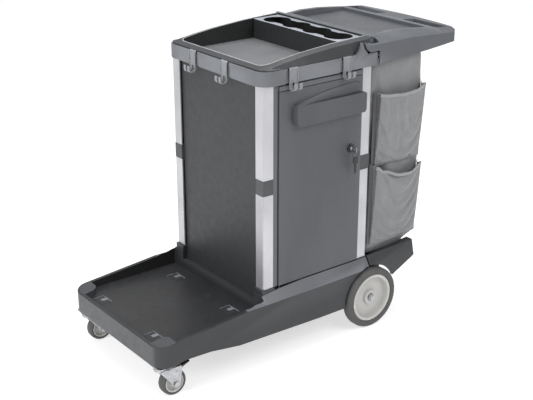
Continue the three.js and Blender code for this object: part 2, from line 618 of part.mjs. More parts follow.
for (const [side, hand] of sides) {
  const swivel = groupAt(CASTOR.x, side * CASTOR.y, 0);
  const hub = new THREE.Group();
  hub.position.set(CASTOR.trail, 0, CASTOR.r);
  swivel.add(hub);
  add(`castor_plate_${hand}`, castorPlate(), MATERIAL.steel, swivel);
  add(`castor_fork_${hand}`, castorFork(), MATERIAL.steel, swivel);
  add(`castor_pedal_${hand}`, castorPedal(), MATERIAL.black, swivel);
  add(`castor_axle_${hand}`, castorAxle(), MATERIAL.steel, hub);
  add(`castor_rim_${hand}`, castorRim(), MATERIAL.wheel, hub);
  add(`castor_tyre_${hand}`, castorTyre(), MATERIAL.rubber, hub);
}

export default cart;
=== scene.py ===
# Housekeeping cart: the looks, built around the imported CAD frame.  Lengths below are millimetres in the
# cart's layout (x from the front faces of the front posts); mm() turns them into the frame's metres.
import json
import math

import bmesh
import bpy
from mathutils import Matrix, Vector, noise


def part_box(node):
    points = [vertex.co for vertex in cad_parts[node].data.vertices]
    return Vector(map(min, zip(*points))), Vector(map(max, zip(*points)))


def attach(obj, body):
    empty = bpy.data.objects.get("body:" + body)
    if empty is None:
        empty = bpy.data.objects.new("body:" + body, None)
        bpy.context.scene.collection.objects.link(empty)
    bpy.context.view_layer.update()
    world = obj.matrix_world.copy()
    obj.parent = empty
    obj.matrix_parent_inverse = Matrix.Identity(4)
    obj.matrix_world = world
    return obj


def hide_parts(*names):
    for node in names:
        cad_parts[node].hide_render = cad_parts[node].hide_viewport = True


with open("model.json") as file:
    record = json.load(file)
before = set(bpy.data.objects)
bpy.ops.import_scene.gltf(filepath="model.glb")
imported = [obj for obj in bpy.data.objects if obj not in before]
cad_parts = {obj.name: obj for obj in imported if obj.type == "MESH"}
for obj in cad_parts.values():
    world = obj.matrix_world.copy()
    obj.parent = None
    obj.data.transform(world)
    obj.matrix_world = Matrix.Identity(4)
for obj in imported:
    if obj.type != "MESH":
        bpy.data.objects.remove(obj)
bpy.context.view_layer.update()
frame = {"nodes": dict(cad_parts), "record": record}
NODES = frame["nodes"]
FRONT_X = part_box("post_lower_front_left")[0].x
SLOT_OF = {part["node"]: part["material_slot"] for part in frame["record"]["subparts"]}
BODY_OF = {node: body for body, nodes in frame["record"]["behaviour"]["bodies"].items() for node in nodes}
SIDES = ((-1, "left"), (1, "right"))

DECK_TOP = 160             # the flat of the nose deck
DECK_ENDS = (-366, -8)     # between the nose wall and the front panel
WELL_PLACES = ((-332, "front"), (-66, "rear"))
WELL_Y = 143
WELL_HALF = (17, 24)
CASTOR = (-343, 206)       # the swivel's x and its distance from the middle
NOSE_CORNER = (-332.5, 205)    # the middle of each rounded nose corner
BAND_FACE = {"front": -11.5, "flank": 236.5}    # how far out the top frame's band stands
TRAY_RIM = ((-8, 898), (24, 905), (80, 914), (142, 922), (251, 931), (340, 935), (388, 936.8))
LIP_Y = 205                # the inside of the tray's rim
HANDLE_TOP = 778           # the top edge of the door handle's lip
BAG_WALL = 217.5           # the bag's flank, which carries the pockets
BAG_FRONT = 407.5          # nothing of the bag comes nearer to the rear panel
SETTLE_FRAMES = 22


def mm(x, y, z):
    return Vector((FRONT_X + x / 1000, y / 1000, z / 1000))


# ---- materials ----------------------------------------------------------------------------------
class Nodes:
    """A short way to write a node tree."""

    def __init__(self, name):
        self.material = bpy.data.materials.new(name)
        self.material.use_nodes = True
        self.tree = self.material.node_tree
        self.shader = self.tree.nodes["Principled BSDF"]
        self.place = self.add("ShaderNodeTexCoord").outputs["Object"]

    def add(self, kind, **inputs):
        node = self.tree.nodes.new(kind)
        for key, value in inputs.items():
            self.put(node.inputs[key.replace("_", " ")], value)
        return node

    def put(self, socket, value):
        if isinstance(value, bpy.types.NodeSocket):
            self.tree.links.new(value, socket)
        else:
            socket.default_value = value

    def stretched(self, x, y, z):
        node = self.add("ShaderNodeMapping", Vector=self.place)
        node.inputs["Scale"].default_value = (x, y, z)
        return node.outputs["Vector"]

    def noise(self, scale, detail=3.0, roughness=0.5, vector=None):
        node = self.add("ShaderNodeTexNoise", Vector=vector or self.place, Scale=scale, Detail=detail,
                        Roughness=roughness)
        return node.outputs["Fac"]

    def remap(self, value, low, high, from_low=0.0, from_high=1.0):
        node = self.add("ShaderNodeMapRange", Value=value)
        limits = {"From Min": from_low, "From Max": from_high, "To Min": low, "To Max": high}
        for key, number in limits.items():
            node.inputs[key].default_value = number
        return node.outputs["Result"]

    def mix(self, factor, first, second):
        node = self.tree.nodes.new("ShaderNodeMix")
        node.data_type = "RGBA"
        self.put(node.inputs["Factor"], factor)
        self.put(node.inputs["A"], first)
        self.put(node.inputs["B"], second)
        return node.outputs["Result"]

    def math(self, kind, first, second=0.0):
        node = self.tree.nodes.new("ShaderNodeMath")
        node.operation = kind
        self.put(node.inputs[0], first)
        self.put(node.inputs[1], second)
        return node.outputs[0]

    def bump(self, height, strength, distance, below=None):
        node = self.add("ShaderNodeBump", Height=height, Strength=strength, Distance=distance)
        if below is not None:
            self.put(node.inputs["Normal"], below)
        return node.outputs["Normal"]

    def finish(self, colour, roughness, normal=None, **constants):
        self.put(self.shader.inputs["Base Color"], colour)
        self.put(self.shader.inputs["Roughness"], roughness)
        if normal is not None:
            self.put(self.shader.inputs["Normal"], normal)
        for key, value in constants.items():
            self.shader.inputs[key.replace("_", " ")].default_value = value
        return self.material


def grey(level, tint=0.0):
    return (level * (1 - tint * 0.5), level, level * (1 + tint), 1.0)


def moulded_plastic(name, level, tint=0.07, roughness=0.5, grain=1.0, streak=False):
    """Charcoal moulded plastic: fine spark-eroded grain, slight flow variation, paler worn edges."""
    n = Nodes(name)
    flow = n.noise(7.0, 4.0, 0.55, n.stretched(1.0, 1.0, 0.25) if streak else None)
    colour = n.mix(n.remap(flow, 0, 1, 0.3, 0.7), grey(level * 0.88, tint), grey(level * 1.14, tint))
    edge = n.remap(n.add("ShaderNodeNewGeometry").outputs["Pointiness"], 0, 0.55, 0.52, 0.60)
    colour = n.mix(edge, colour, grey(level * 1.9 + 0.01, tint))
    fine = n.noise(1400.0, 2.0, 0.6, n.stretched(1.0, 1.0, 0.16) if streak else None)
    rough = n.remap(n.noise(60.0, 4.0, 0.6), roughness - 0.07, roughness + 0.09, 0.3, 0.7)
    normal = n.bump(fine, 0.22 * grain, 0.0004)
    return n.finish(colour, rough, normal, Specular_IOR_Level=0.42)


def drawn_aluminium():
    """Drawn along the post: fine lines in the gloss, no colour of their own."""
    n = Nodes("drawn_aluminium")
    lines = n.noise(900.0, 3.0, 0.7, n.stretched(1.0, 1.0, 0.004))
    cloud = n.noise(9.0, 3.0, 0.5)
    colour = n.mix(n.remap(cloud, 0, 1, 0.3, 0.7), (0.43, 0.43, 0.45, 1), (0.52, 0.52, 0.545, 1))
    rough = n.remap(lines, 0.34, 0.50, 0.3, 0.7)
    return n.finish(colour, rough, n.bump(lines, 0.12, 0.0003), Metallic=0.75)


def zinc_plate():
    """Bright zinc plating, slightly clouded."""
    n = Nodes("zinc_plate")
    cloud = n.noise(60.0, 4.0, 0.6)
    colour = n.mix(n.remap(cloud, 0, 1, 0.3, 0.7), (0.34, 0.345, 0.36, 1), (0.48, 0.485, 0.50, 1))
    rough = n.remap(n.noise(130.0, 4.0, 0.6), 0.20, 0.36, 0.3, 0.7)
    return n.finish(colour, rough, n.bump(n.noise(500.0), 0.05, 0.0004), Metallic=0.95)


def woven_fabric(name, lift):
    """Coated polyester cloth: a fine plain weave, faint creases and a soft sheen."""
    n = Nodes(name)
    warp = n.add("ShaderNodeTexWave", Vector=n.stretched(1, 1, 0), Scale=420.0).outputs["Fac"]
    weft_node = n.add("ShaderNodeTexWave", Vector=n.place, Scale=420.0)
    weft_node.bands_direction = "Z"
    weave = n.math("MULTIPLY", warp, weft_node.outputs["Fac"])
    cloud = n.noise(16.0, 5.0, 0.6)
    thread = n.noise(420.0, 2.0, 0.7)
    colour = n.mix(n.remap(cloud, 0, 1, 0.3, 0.7), grey(0.255 * lift, 0.03), grey(0.335 * lift, 0.03))
    colour = n.mix(n.remap(thread, 0, 0.35, 0.35, 0.65), colour, grey(0.22, 0.03))
    creases = n.noise(34.0, 5.0, 0.62)
    normal = n.bump(creases, 0.5, 0.004)
    normal = n.bump(weave, 0.35, 0.0005, normal)
    rough = n.remap(cloud, 0.72, 0.9, 0.3, 0.7)
    return n.finish(colour, rough, normal, Sheen_Weight=0.25, Sheen_Roughness=0.5)


def rubber(name, level):
    """Grey tyre rubber with a little dust in it."""
    n = Nodes(name)
    dust = n.noise(45.0, 5.0, 0.65)
    colour = n.mix(n.remap(dust, 0, 1, 0.35, 0.75), grey(level, -0.01), grey(level * 1.45, -0.02))
    return n.finish(colour, n.remap(dust, 0.58, 0.8, 0.3, 0.7), n.bump(n.noise(700.0), 0.25, 0.0004))


MATERIALS = {    # the record's slots, and the tones that pieces of one slot differ in; some of these tones are painted light and shade
    # Darker than the plastic's own tone: painted shade, so that the low base and skirt look less lit than
    # the parts above
    "moulded_charcoal": moulded_plastic("charcoal_plastic", 0.023, 0.10, 0.42),
    "deck": moulded_plastic("deck_plastic", 0.021, 0.06, 0.40),
    # A paler copy of the same charcoal: painted light, so that the hood looks better lit than the base below
    # it
    "hood": moulded_plastic("hood_lit_plastic", 0.078, 0.12, 0.46),
    # Painted highlight: the pale rod along the inside edge of the tray's rim
    "lip": moulded_plastic("rim_highlight_plastic", 0.19, 0.06, 0.35),
    # A paler copy of the base's charcoal for the nose's front faces: painted light on the side lit from the
    # left
    "nose": moulded_plastic("nose_lit_plastic", 0.038, 0.12, 0.40),
    "pad": moulded_plastic("pad_plastic", 0.044, 0.10, 0.40),
    # A much paler copy of the charcoal: painted light on the upward-sloping kerb and on the frames of the
    # wells
    "kerb": moulded_plastic("kerb_lit_plastic", 0.105, 0.10, 0.42),
    "hood_top": moulded_plastic("hood_top_plastic", 0.070, 0.10, 0.45),
    "tray": moulded_plastic("tray_plastic", 0.115, 0.05, 0.5),
    "tray_dark": moulded_plastic("tray_wall_plastic", 0.012, 0.06, 0.5),
    "caddy_top": moulded_plastic("caddy_top_plastic", 0.23, 0.12, 0.35),
    "moulded_panel": moulded_plastic("door_plastic", 0.062, 0.10, 0.44, 1.0, True),
    "front_panel": moulded_plastic("front_panel_plastic", 0.014, 0.08, 0.45, 1.0, True),
    "moulded_trim": moulded_plastic("band_plastic", 0.100, 0.09, 0.45),
    "joiner": moulded_plastic("joiner_plastic", 0.045, 0.08, 0.45),
    "hook": moulded_plastic("hook_plastic", 0.17, 0.06, 0.25, 0.3),
    "aluminium": drawn_aluminium(),
    "zinc_steel": zinc_plate(),
    "bag_fabric": woven_fabric("woven_fabric", 0.60),
    # A much darker copy of the bag's cloth: painted shade, for the pockets' folded-in sides in the shadow of
    # the posts
    "gusset_shade": woven_fabric("gusset_shade_fabric", 0.20),
    "hem": woven_fabric("hem_fabric", 0.80),
    "wheel_plastic": moulded_plastic("wheel_plastic", 0.40, -0.03, 0.35, 0.4),
    "tyre_rubber": rubber("tyre_rubber", 0.055),
    "black_plastic": moulded_plastic("black_plastic", 0.012, 0.0, 0.22, 0.3),
}


# ---- pieces -------------------------------------------------------------------------------------
def smooth(obj, angle):
    obj.data.shade_smooth()
    obj.data.set_sharp_from_angle(angle=math.radians(angle))


def apply_modifiers(obj):
    depsgraph = bpy.context.evaluated_depsgraph_get()
    mesh = bpy.data.meshes.new_from_object(obj.evaluated_get(depsgraph), preserve_all_data_layers=True,
                                           depsgraph=depsgraph)
    obj.modifiers.clear()
    obj.data = mesh


def add_bevel(obj, width, segments):
    bevel = obj.modifiers.new("bevel", "BEVEL")
    bevel.width = width / 1000
    bevel.segments = segments
    bevel.limit_method = "ANGLE"
    bevel.angle_limit = math.radians(35)
    bevel.use_clamp_overlap = True
    apply_modifiers(obj)


def weigh_normals(obj):
    """Keeps wide flat faces flat in the shading, so that only the rounded edges catch the light."""
    weighted = obj.modifiers.new("weighted", "WEIGHTED_NORMAL")
    weighted.keep_sharp = True
    apply_modifiers(obj)


def piece(name, mesh, body, slot, replaced=(), material=None, bevel=0.0, segments=3, angle=38):
    """Puts a finished mesh on its CAD body, with its material and the nodes it stands for."""
    obj = bpy.data.objects.new(name, mesh)
    bpy.context.scene.collection.objects.link(obj)
    if bevel:
        add_bevel(obj, bevel, segments)
    smooth(obj, angle)
    if bevel:
        weigh_normals(obj)
    obj.data.materials.clear()
    obj.data.materials.append(MATERIALS[material or slot])
    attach(obj, body)
    if replaced:
        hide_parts(*replaced)
    return obj


def mesh_from(bm, name):
    mesh = bpy.data.meshes.new(name)
    bmesh.ops.recalc_face_normals(bm, faces=bm.faces)
    bm.to_mesh(mesh)
    bm.free()
    return mesh


def cad_mesh(node):
    """The node's own solid with its flat faces made whole again, ready for rounded edges."""
    bm = bmesh.new()
    bm.from_mesh(NODES[node].data)
    bmesh.ops.remove_doubles(bm, verts=bm.verts, dist=2e-5)
    bmesh.ops.dissolve_limit(bm, angle_limit=math.radians(0.8), verts=bm.verts, edges=bm.edges)
    return mesh_from(bm, node)


def rounded(node, width, segments=3, material=None):
    return piece(f"{node}_skin", cad_mesh(node), BODY_OF[node], SLOT_OF[node], (node,), material, width,
                 segments)


def circle(steps, first=0.0, last=360.0):
    """Angles in radians from first up to, and not at, last, which are in degrees."""
    return [math.radians(first + (last - first) * k / steps) for k in range(steps)]


# ---- camera, light and floor --------------------------------------------------------------------
def set_stage():
    scene = bpy.context.scene
    camera = bpy.data.objects.new("camera", bpy.data.cameras.new("camera"))
    scene.collection.objects.link(camera)
    camera.data.lens = 72.5
    camera.data.sensor_width = 36.0
    azimuth, elevation = math.radians(-37.83), math.radians(21.63)
    back = Vector((math.sin(azimuth) * math.cos(elevation), -math.cos(azimuth) * math.cos(elevation),
                   math.sin(elevation)))
    turn = back.to_track_quat("Z", "Y").to_matrix().to_4x4()
    camera.matrix_world = Matrix.Translation(mm(-1727.6, -2464.7, 1644.3)) @ turn
    scene.camera = camera

    world = bpy.data.worlds.new("studio")
    world.use_nodes = True
    world.node_tree.nodes["Background"].inputs["Color"].default_value = (1, 1, 1, 1)
    world.node_tree.nodes["Background"].inputs["Strength"].default_value = 0.62
    scene.world = world
    scene.view_settings.view_transform = "Standard"

    def softbox(name, place, target, size, power):
        light = bpy.data.lights.new(name, "AREA")
        light.shape = "RECTANGLE"
        light.size, light.size_y = size
        light.energy = power
        obj = bpy.data.objects.new(name, light)
        scene.collection.objects.link(obj)
        obj.location = place
        obj.rotation_euler = (Vector(place) - Vector(target)).to_track_quat("Z", "Y").to_euler()

    softbox("key", (0.4, -2.4, 2.6), (0, 0, 0.7), (1.8, 1.4), 40)
    softbox("top", (0.1, 0.3, 3.0), (0.1, 0, 0.5), (2.4, 1.8), 62)
    softbox("left", (-3.0, -0.4, 1.9), (0, 0, 0.4), (1.6, 1.6), 60)

    bm = bmesh.new()
    bmesh.ops.create_grid(bm, x_segments=4, y_segments=4, size=30)
    floor = bpy.data.objects.new("floor", mesh_from(bm, "floor"))
    n = Nodes("floor")
    floor.data.materials.append(n.finish((0.55, 0.55, 0.55, 1), 0.9, Emission_Color=(1, 1, 1, 1),
                                         Emission_Strength=0.62))
    scene.collection.objects.link(floor)


# ---- rigid parts --------------------------------------------------------------------------------
def tint_faces(obj, material, test):
    """Gives the faces whose middle and normal pass the test another material of the same part."""
    obj.data.materials.append(MATERIALS[material])
    for face in obj.data.polygons:
        if test(face.center, face.normal):
            face.material_index = len(obj.data.materials) - 1


def base():
    """The moulded base, with the four framed wells and the round marks of the deck."""
    body = rounded("base_platform", 1.8)
    deck_front, deck_rear = [mm(x, 0, 0).x for x in DECK_ENDS]
    nose = mm(-370, 0, 0).x
    wall_foot, wall_head, wall_face = 0.1605, 0.22, 0.2385
    kerb_inner, kerb_outer = 0.2285, 0.2495
    tint_faces(body, "deck", lambda c, n: c.x < deck_rear and c.z < 0.1665 and n.z > 0.5)
    tint_faces(body, "tray_dark", lambda c, n: deck_front < c.x < deck_rear and wall_foot < c.z < wall_head
               and abs(c.y) < wall_face and abs(n.z) < 0.5)
    # The nose's front faces get the paler copy: painted light, chosen by the way the faces point
    tint_faces(body, "nose", lambda c, n: n.x < -0.9 and c.x < nose and c.z > 0.1)
    # The kerb's upward-facing slopes get the paler copy: painted light where they face the lamps above
    tint_faces(body, "kerb", lambda c, n: c.z > 0.2 and kerb_inner < abs(c.y) < kerb_outer and n.z > 0.35)
    for side, hand in SIDES:
        corner_pad(side, hand)
        for x, end in WELL_PLACES:
            well(f"deck_well_{end}_{hand}", x, side * WELL_Y)
    for k, (x, y) in enumerate(((-246, 174), (-250, -174), (-310, -15), (-56, -20))):
        deck_mark(f"deck_mark_{k}", x, y)


def slab(bm, outline, z0, z1):
    """A flat plate over an outline of (x, y) points; z1 is a height or a function of x."""
    height = z1 if callable(z1) else (lambda x: z1)
    low = [bm.verts.new(mm(x, y, z0)) for x, y in outline]
    high = [bm.verts.new(mm(x, y, height(x))) for x, y in outline]
    bm.faces.new(high)
    bm.faces.new(low)
    for k in range(len(outline)):
        j = (k + 1) % len(outline)
        bm.faces.new((low[k], low[j], high[j], high[k]))


def rectangle(x0, x1, y0, y1):
    return [(x0, y0), (x1, y0), (x1, y1), (x0, y1)]


def well(name, x, y):
    """A mark for a bucket foot: a dark plate, painted shade for the sunken floor of a well, a thin pale
    frame along two of its edges, painted light on the well's lit walls, and a tongue.
    """
    half_x, half_y = WELL_HALF
    foot = DECK_TOP - 0.5
    bm = bmesh.new()
    slab(bm, rectangle(x - half_x, x + half_x, y - half_y, y + half_y), foot, DECK_TOP + 0.5)
    # The dark plate is painted shade: the well is not sunk, so its shaded floor is drawn flat on the deck
    piece(name, mesh_from(bm, name), "cart", "moulded_charcoal", material="tray_dark")
    bm = bmesh.new()
    rear_edge = (half_x, half_x + 2, -half_y - 1, half_y + 1)
    far_edge = (-half_x - 1, half_x + 1, half_y - 0.5, half_y + 1)
    tongue = (-3, half_x + 1, -5, 9)
    for x0, x1, y0, y1 in (rear_edge, far_edge, tongue):
        slab(bm, rectangle(x + x0, x + x1, y + y0, y + y1), foot, DECK_TOP + 1.8)
    # The pale frame is painted light, for the lit walls of the well
    piece(f"{name}_frame", mesh_from(bm, name), "cart", "moulded_charcoal", material="kerb", bevel=0.6)


def deck_mark(name, x, y):
    """A round gate mark, just proud of the deck."""
    radius = 11
    bm = bmesh.new()
    ring = [(x + radius * math.cos(a), y + radius * math.sin(a)) for a in circle(36)]
    slab(bm, ring, DECK_TOP - 0.5, DECK_TOP + 0.5)
    piece(name, mesh_from(bm, name), "cart", "moulded_charcoal", material="deck", bevel=0.4)


def corner_pad(side, hand):
    """The raised pad in each front corner of the deck, level with the top of its walls."""
    (x, y), outer, inner = NOSE_CORNER, 39, 22
    rear = x + 14.5
    outline = [(x - outer * math.sin(a), side * (y + outer * math.cos(a))) for a in circle(6, 90, 0) + [0.0]]
    outline += [(rear, side * (y + outer)), (rear, side * (y + 7))]
    outline += [(rear - inner + inner * math.cos(a), side * (y + 7 - inner * math.sin(a)))
                for a in circle(6, 15, 105)]
    outline += [(x - outer, side * (y + 7 - inner))]
    bm = bmesh.new()
    slab(bm, outline, DECK_TOP - 2, lambda x: 173.2 + (x + 377.5) * 0.16)
    piece(f"deck_corner_pad_{hand}", mesh_from(bm, "pad"), "cart", "moulded_charcoal", material="pad",
          bevel=1.5)


def turned(node, profile, side, slot, steps=96, bevel=0.0):
    """A (radius, y) profile turned about the node's own middle; y is negative on the outer face."""
    low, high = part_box(node)
    middle = (low + high) / 2
    bm = bmesh.new()
    rings = []
    for radius, y in profile:
        points = [Vector((radius * math.cos(a), -side * y, radius * math.sin(a))) for a in circle(steps)]
        rings.append([bm.verts.new(middle + point / 1000) for point in points])
    for a, b in zip(rings, rings[1:] + rings[:1]):
        for k in range(steps):
            j = (k + 1) % steps
            bm.faces.new((a[k], a[j], b[j], b[k]))
    piece(f"{node}_skin", mesh_from(bm, node), BODY_OF[node], slot, (node,), bevel=bevel, segments=2)


def rear_wheels():
    for side, hand in SIDES:
        turned(f"rear_tyre_{hand}", (
            (78.3, -14), (79.5, -15.6), (83, -16.8), (91, -16.8), (95.5, -15.4), (98.6, -12.4), (99.9, -8),
            (99.9, 8), (98.6, 12.4), (95.5, 15.4), (91, 16.8), (83, 16.8), (79.5, 15.6), (78.3, 14)),
            side, "tyre_rubber")
        turned(f"rear_rim_{hand}", (
            (8.3, -7.5), (21, -7.5), (22.6, -6.8), (23.4, -5.2), (24.8, 0.6), (27, 2.2), (60, 3.4),
            (63.4, 2.4), (65, -0.5), (68.2, -12.2), (69.6, -13.8), (71.5, -14.4), (76, -14.4),
            (77.9, -13.2), (77.9, 13.2), (76, 14.4), (71.5, 14.4), (69, 12), (66, 7.6), (27, 7), (24, 9),
            (23, 12), (8.3, 12)), side, "wheel_plastic", bevel=0.3)
        washer(side, hand)


def washer(side, hand):
    """A plain washer behind the rear wheel's nut."""
    low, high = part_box(f"rear_wheel_nut_{hand}")
    x, z = (low.x + high.x) / 2, (low.z + high.z) / 2
    inner = high.y if side < 0 else low.y
    bm = bmesh.new()
    bmesh.ops.create_cone(bm, cap_ends=True, segments=48, radius1=0.0155, radius2=0.0155, depth=0.0012,
                          matrix=Matrix.Translation((x, inner, z)) @ Matrix.Rotation(math.pi / 2, 4, "X"))
    piece(f"rear_washer_{hand}", mesh_from(bm, "washer"), "cart", "zinc_steel", bevel=0.3)


def castor_wheels():
    for side, hand in SIDES:
        turned(f"castor_tyre_{hand}", (
            (30.4, -13), (32, -14.8), (35, -15.2), (37.6, -13.4), (39.4, -9.6), (40, -4), (40, 4),
            (39.4, 9.6), (37.6, 13.4), (35, 15.2), (32, 14.8), (30.4, 13)), side, "tyre_rubber", 72)
        half = ((5.4, -16.4), (9.6, -16.4), (10.8, -15.4), (12.4, -8), (14, -6.4), (22, -6), (24, -7.4),
                (26.4, -13.4), (28, -14.6), (29.6, -14.2), (30.1, -13))
        whole = half + tuple((radius, -y) for radius, y in reversed(half))
        turned(f"castor_rim_{hand}", whole, side, "wheel_plastic", 72)


def strip(bm, place, path, width, middle, thickness):
    """A bent strip: path is (outward, height) points in millimetres, middle its offset sideways."""
    last = len(path) - 1
    rows = []
    for k, (u, z) in enumerate(path):
        (ua, za), (ub, zb) = path[max(k - 1, 0)], path[min(k + 1, last)]
        along = Vector((ub - ua, zb - za)).normalized()
        normal = Vector((-along.y, along.x)) * thickness / 2
        rows.append([bm.verts.new(place(u + s * normal.x, middle + t * width / 2, z + s * normal.y))
                     for s, t in ((-1, -1), (-1, 1), (1, 1), (1, -1))])
    for a, b in zip(rows, rows[1:]):
        for k in range(4):
            j = (k + 1) % 4
            bm.faces.new((a[k], a[j], b[j], b[k]))
    bm.faces.new(rows[0])
    bm.faces.new(rows[-1])


def castor_forks():
    """On each fork: rolled front and rear edges, a boss on each side, and the two raceway rings above."""
    front_edge, rear_edge = ((-12, 88), (20, 38)), ((50, 86), (43, 36))
    boss_x, boss_z = 34, 78
    for side, hand in SIDES:
        node = f"castor_fork_{hand}"
        body = BODY_OF[node]
        swivel_x, swivel_y = CASTOR[0], side * CASTOR[1]
        rounded(node, 0.7)
        bm = bmesh.new()
        for across in (-1, 1):
            wall = swivel_y + across * 21.2
            for (x0, z0), (x1, z1) in (front_edge, rear_edge):
                rod_between(bm, mm(swivel_x + x0, wall, z0), mm(swivel_x + x1, wall, z1), 1.7)
            foot, head = [mm(swivel_x + boss_x, wall + across * out, boss_z) for out in (0.5, 3)]
            rod_between(bm, foot, head, 3.4)
        piece(f"castor_fork_trim_{hand}", mesh_from(bm, node), body, "zinc_steel", bevel=0.4)
        bm = bmesh.new()
        for z, radius in ((96.2, 28.5), (92.5, 27.6)):
            ring = [(swivel_x + radius * math.cos(a), swivel_y + radius * math.sin(a)) for a in circle(48)]
            slab(bm, ring, z - 1.4, z + 1.4)
        piece(f"castor_raceway_{hand}", mesh_from(bm, node), body, "zinc_steel", bevel=0.9)


def rod_between(bm, start, end, radius):
    """A plain rod between two points, its radius in millimetres."""
    along = end - start
    turn = along.to_track_quat("Z", "Y").to_matrix().to_4x4()
    bmesh.ops.create_cone(bm, cap_ends=True, segments=16, radius1=radius / 1000, radius2=radius / 1000,
                          depth=along.length, matrix=Matrix.Translation((start + end) / 2) @ turn)


def hooks():
    """A plate over the band with a raised rim on both sides, parted below into two curled prongs."""
    curl_u, curl_z, curl = 11, 844, 11.3
    plate = [(-9, 893), (-2, 895.5), (0.8, 893), (0.8, 872), (0.8, 852)]
    edge_rim = [(1.6, 893), (2.4, 872), (1.6, 850)]
    prong = [(0.4, 858)]
    prong += [(curl_u - curl * math.cos(a), curl_z - curl * math.sin(a)) for a in circle(13, 0, 195)]
    prong += [(curl_u + curl, 853)]
    for node in [name for name in NODES if name.startswith("hook_")]:
        low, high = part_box(node)
        place = hook_frame(node, (low + high) / 2)
        bm = bmesh.new()
        strip(bm, place, plate, 31, 0, 2.6)
        for edge in (-1, 1):
            strip(bm, place, edge_rim, 3.0, edge * 14.2, 4.2)
            strip(bm, place, prong, 11.0, edge * 9.2, 3.2)
        piece(f"{node}_skin", mesh_from(bm, node), "cart", "zinc_steel", (node,), "hook", 0.9)


def hook_frame(node, middle):
    """Turns (outward from the band, sideways, height) into a place on the hook's own side of the cart."""
    if node.startswith("hook_front"):
        return lambda u, across, z: Vector((mm(BAND_FACE["front"] - u, 0, 0).x, middle.y + across / 1000,
                                            z / 1000))
    side = 1 if middle.y > 0 else -1
    return lambda u, across, z: Vector((middle.x + across / 1000, side * (BAND_FACE["flank"] + u) / 1000,
                                        z / 1000))


def top_parts():
    """The frame, the tray with its dark walls, the caddy with its pale top, and the hood."""
    rounded("top_frame", 1.6, material="moulded_trim")
    tray = rounded("top_tray", 1.6)
    floor, rim_foot, inside, hood_panel = 0.8695, 0.8945, 0.2056, 0.9135
    tint_faces(tray, "tray", lambda c, n: n.z > 0.8 and c.z < 0.875)
    tint_faces(tray, "tray_dark", lambda c, n: abs(n.z) < 0.5 and floor < c.z
               and (abs(c.y) < inside or c.z < rim_foot))
    tray_rim_highlight()
    caddy = rounded("bottle_caddy", 0.9, material="tray_dark")
    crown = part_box("bottle_caddy")[1].z
    tint_faces(caddy, "caddy_top", lambda c, n: c.z > crown - 0.0015)
    hood = rounded("hood", 1.8, material="hood")
    tint_faces(hood, "hood_top", lambda c, n: n.z > 0.9 and abs(c.z - hood_panel) < 0.0012)


def tray_rim_highlight():
    """A pale thin rod along the inside of the tray's rim, which rises towards the hood: a painted highlight
    on the rim's rounded inner edge.
    """
    def height(x):
        for (xa, za), (xb, zb) in zip(TRAY_RIM, TRAY_RIM[1:]):
            if x <= xb:
                return za + (zb - za) * (x - xa) / (xb - xa)
        return TRAY_RIM[-1][1]

    corner_x, radius = 40, 26
    corner_y = LIP_Y - radius
    flank = [388, 340, 290, 251, 200, 142, 110, 80, 60, corner_x]
    corner = [(corner_x - radius * math.sin(a), corner_y + radius * math.cos(a)) for a in circle(5, 15, 90)]
    right = [(x, LIP_Y) for x in flank] + corner + [(corner_x - radius, corner_y)]
    path = [mm(x, y, height(x)) for x, y in right] + [mm(x, -y, height(x)) for x, y in reversed(right)]
    bm = bmesh.new()
    for a, b in zip(path, path[1:]):
        rod_between(bm, a, b, 1.5)
    piece("tray_rim_highlight", mesh_from(bm, "tray_rim_highlight"), "cart", "moulded_charcoal", material="lip")


def cabinet():
    """Panels, shelf and door, with the door's handle and lock."""
    rounded("front_panel", 0.6, material="front_panel")
    rounded("rear_panel", 0.6)
    rounded("right_side_panel", 0.6)
    rounded("middle_shelf", 1.0)
    rounded("door_surround", 0.8, material="moulded_panel")
    rounded("door_panel", 1.4)
    rounded("door_handle", 3.4, 5)
    finger_recess()
    for node in ("lock_barrel", "lock_plug", "spare_key"):
        rounded(node, 0.5)


def finger_recess():
    """The raised crescent over the handle's lip; the fingers reach in between the two."""
    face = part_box("door_panel")[0].y
    left, length, rise, bend = 112, 246, 33, 0.94    # past the bend the arch turns down to its end
    steps = 28
    bm = bmesh.new()
    rows = []
    for k in range(steps + 1):
        share = k / steps
        x = left + length * share
        arch = HANDLE_TOP + 3 + rise * math.sin(math.pi * min(1.0, share * 1.06) / 2) ** 0.8
        if share > bend:
            arch -= ((share - bend) / (1 - bend)) ** 2 * 22
        rows.append([mm(x, 0, z) for z in (arch, arch - 2.5, 0.5 * (arch + HANDLE_TOP), HANDLE_TOP)])
        for point, stand in zip(rows[-1], (0.2, 3.0, 5.5, 13.0)):
            point.y = face - stand / 1000
    verts = [[bm.verts.new(p) for p in row] for row in rows]
    for a, b in zip(verts, verts[1:]):
        for k in range(3):
            bm.faces.new((a[k], a[k + 1], b[k + 1], b[k]))
    crescent = piece("door_handle_crescent", mesh_from(bm, "crescent"), "door", "moulded_panel", angle=50)
    thicken(crescent, 1.0)


def rigid_parts():
    """Everything but the cloth."""
    base()
    rounded("rear_skirt", 1.8)
    top_parts()
    cabinet()
    hooks()
    rear_wheels()
    castor_wheels()
    castor_forks()
    for node in ("hood_hinge_rod", "door_hinge_rod"):
        rounded(node, 0.5, 2, "black_plastic")
    for node in ("bag_frame", "rear_axle", "rear_wheel_nut_left", "rear_wheel_nut_right"):
        rounded(node, 0.5, 2)
    for node in [name for name in NODES if name.startswith("post_joiner")]:
        rounded(node, 1.0, material="joiner")
    for node in NODES:
        if node.startswith(("post_lower", "post_upper", "castor_plate", "castor_axle", "castor_pedal")):
            rounded(node, 0.7)


